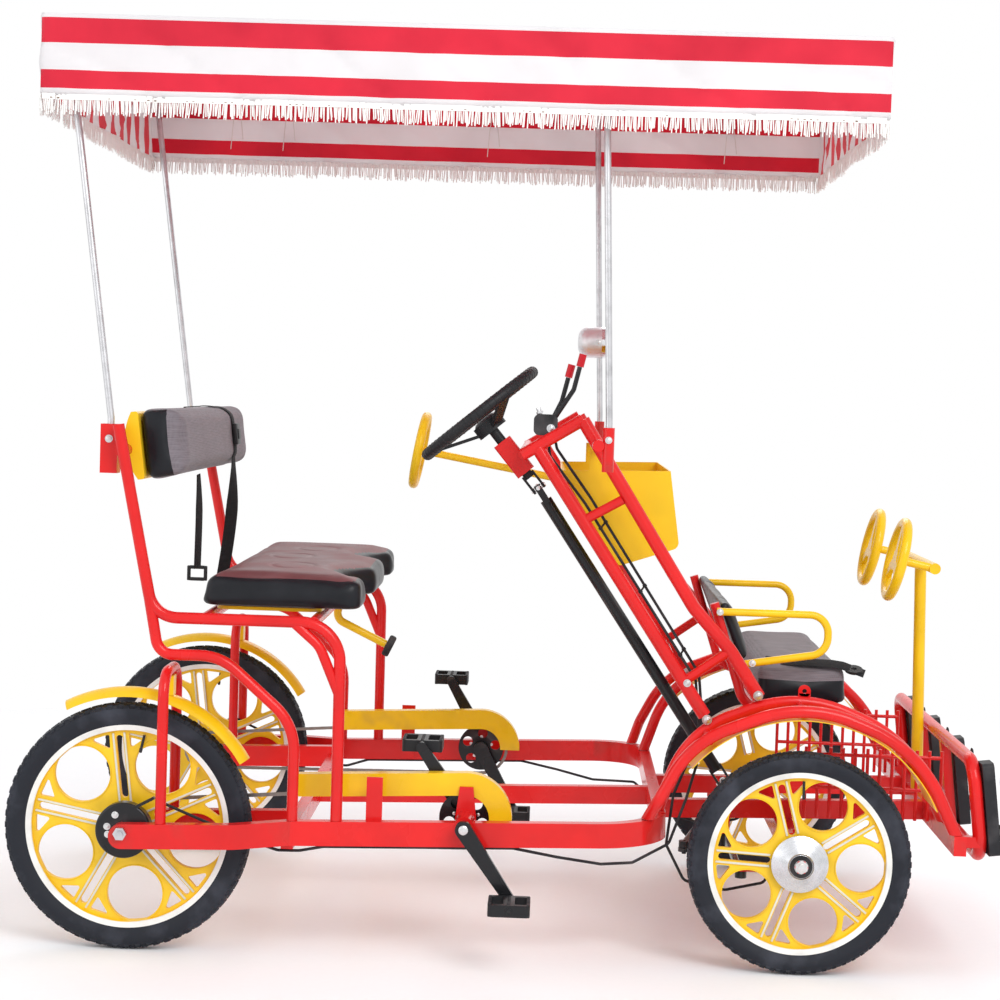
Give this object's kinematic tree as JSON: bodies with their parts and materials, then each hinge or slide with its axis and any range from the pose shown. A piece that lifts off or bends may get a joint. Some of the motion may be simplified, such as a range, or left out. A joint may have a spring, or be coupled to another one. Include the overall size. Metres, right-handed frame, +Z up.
{
  "type": "pedal quadricycle",
  "caption": "Four-wheeled pedal surrey with a bench, backrest, striped canopy, steering wheel, chain drives, a children's front bench and a bumper.",
  "frame": {"origin": "middle of the object's length and width, on the ground", "axes": "+X forward, +Y to the riders' left, +Z up"},
  "size_m": [2.0357, 1.349, 1.8849],
  "materials": {
    "red_paint": "gloss",
    "yellow_paint": "gloss",
    "yellow_plastic": "gloss",
    "black_paint": "satin",
    "bright_steel": "satin",
    "chrome": "polished",
    "alloy": "satin",
    "tyre": "matt",
    "black_rubber": "matt",
    "black_plastic": "matt",
    "red_plastic": "gloss",
    "black_vinyl": "satin",
    "grey_vinyl": "satin",
    "black_webbing": "woven",
    "canopy_cloth": "woven",
    "white_fringe": "woven"
  },
  "bodies": {
    "frame": {"main_frame": "red_paint", "front_frame": "red_paint", "rear_axles": "bright_steel", "brake_drums": "black_paint", "seat_frame": "red_paint", "rear_hoops": "red_paint", "rear_mudguards": "yellow_paint", "bench_pan": "yellow_paint", "bench_cushion": "black_vinyl", "backrest_shell": "yellow_plastic", "backrest_pad": "grey_vinyl", "lap_belt": "black_webbing", "seat_lever": "yellow_paint", "lever_knob": "black_rubber", "front_arches": "red_paint", "front_mudguards": "yellow_paint", "column_ladders": "red_paint", "storage_bin": "yellow_plastic", "dummy_wheel": "yellow_plastic", "toy_wheel_post": "yellow_paint", "child_frame": "red_paint", "child_cushion": "black_vinyl", "child_backrest": "black_vinyl", "child_armrests": "yellow_paint", "foot_guard": "red_paint", "bumper_hoop": "red_paint", "bumper_rubbers": "black_rubber", "canopy_frame": "bright_steel", "canopy": "canopy_cloth", "canopy_fringe": "white_fringe", "headlight": "chrome", "brake_levers": "black_paint", "lever_grips": "red_plastic", "chain_guards": "yellow_paint", "chains": "bright_steel", "brake_cables": "black_rubber"},
    "rear_wheel_right": {"rear_tyre_right": "tyre", "rear_wheel_right": "yellow_paint", "rear_sprocket_right": "bright_steel"},
    "rear_wheel_left": {"rear_tyre_left": "tyre", "rear_wheel_left": "yellow_paint", "rear_sprocket_left": "bright_steel"},
    "knuckle_right": {"knuckle_right": "red_paint"},
    "knuckle_left": {"knuckle_left": "red_paint"},
    "front_wheel_right": {"front_tyre_right": "tyre", "front_wheel_right": "yellow_paint", "front_hub_cone_right": "alloy"},
    "front_wheel_left": {"front_tyre_left": "tyre", "front_wheel_left": "yellow_paint", "front_hub_cone_left": "alloy"},
    "track_rod": {"track_rod": "black_paint"},
    "drag_link": {"drag_link": "black_paint"},
    "steering_stub": {"steering_stub": "black_paint"},
    "steering_shaft": {"steering_shaft": "black_paint"},
    "steering_wheel": {"steering_wheel": "black_plastic"},
    "cranks_right": {"cranks_right": "black_paint", "pedals_right": "black_plastic"},
    "cranks_left": {"cranks_left": "black_paint", "pedals_left": "black_plastic"}
  },
  "joints": [
    {"name": "rear_wheel_right_spin", "type": "hinge", "parent": "frame", "child": "rear_wheel_right", "pos_m": [-0.764, -0.5, 0.254], "axis": [0, 1, 0], "continuous": true},
    {"name": "rear_wheel_left_spin", "type": "hinge", "parent": "frame", "child": "rear_wheel_left", "pos_m": [-0.764, 0.5, 0.254], "axis": [0, 1, 0], "continuous": true},
    {"name": "steer", "type": "hinge", "parent": "frame", "child": "knuckle_right", "pos_m": [0.609, -0.42, 0.23423], "axis": [0, 0, 1], "range_deg": [-25, 25]},
    {"name": "steer_left_knuckle", "type": "hinge", "parent": "frame", "child": "knuckle_left", "pos_m": [0.609, 0.42, 0.23423], "axis": [0, 0, 1], "range_deg": [-25, 25]},
    {"name": "front_wheel_right_spin", "type": "hinge", "parent": "knuckle_right", "child": "front_wheel_right", "pos_m": [0.609, -0.5, 0.2285], "axis": [0, 1, 0], "continuous": true},
    {"name": "front_wheel_left_spin", "type": "hinge", "parent": "knuckle_left", "child": "front_wheel_left", "pos_m": [0.609, 0.5, 0.2285], "axis": [0, 1, 0], "continuous": true},
    {"name": "track_rod_pivot", "type": "hinge", "parent": "knuckle_right", "child": "track_rod", "pos_m": [0.499, -0.42, 0.18273], "axis": [0, 0, 1], "range_deg": [-25, 25]},
    {"name": "column_turn", "type": "hinge", "parent": "frame", "child": "steering_stub", "pos_m": [0.471, -0.25, 0.26], "axis": [0, 0, 1], "range_deg": [-25, 25]},
    {"name": "drag_link_pivot", "type": "hinge", "parent": "steering_stub", "child": "drag_link", "pos_m": [0.391, -0.25, 0.20673], "axis": [0, 0, 1], "range_deg": [-25, 25]},
    {"name": "shaft_turn", "type": "hinge", "parent": "frame", "child": "steering_shaft", "pos_m": [0.471, -0.25, 0.345], "axis": [-0.5621, 0, 0.8271], "range_deg": [-25, 25]},
    {"name": "steering_wheel_turn", "type": "hinge", "parent": "frame", "child": "steering_wheel", "pos_m": [0.051, -0.25, 0.963], "axis": [-0.6426, 0, 0.7662], "range_deg": [-25, 25]},
    {"name": "cranks_right_spin", "type": "hinge", "parent": "frame", "child": "cranks_right", "pos_m": [-0.074, -0.5, 0.285], "axis": [0, 1, 0], "continuous": true},
    {"name": "cranks_left_spin", "type": "hinge", "parent": "frame", "child": "cranks_left", "pos_m": [-0.074, 0.5, 0.285], "axis": [0, 1, 0], "continuous": true}
  ],
  "couplings": [
    {"joint": "steer_left_knuckle", "follows": "steer", "ratio": 1},
    {"joint": "track_rod_pivot", "follows": "steer", "ratio": -1},
    {"joint": "column_turn", "follows": "steer", "ratio": 1},
    {"joint": "drag_link_pivot", "follows": "steer", "ratio": -1},
    {"joint": "shaft_turn", "follows": "steer", "ratio": 1},
    {"joint": "steering_wheel_turn", "follows": "steer", "ratio": 1}
  ]
}
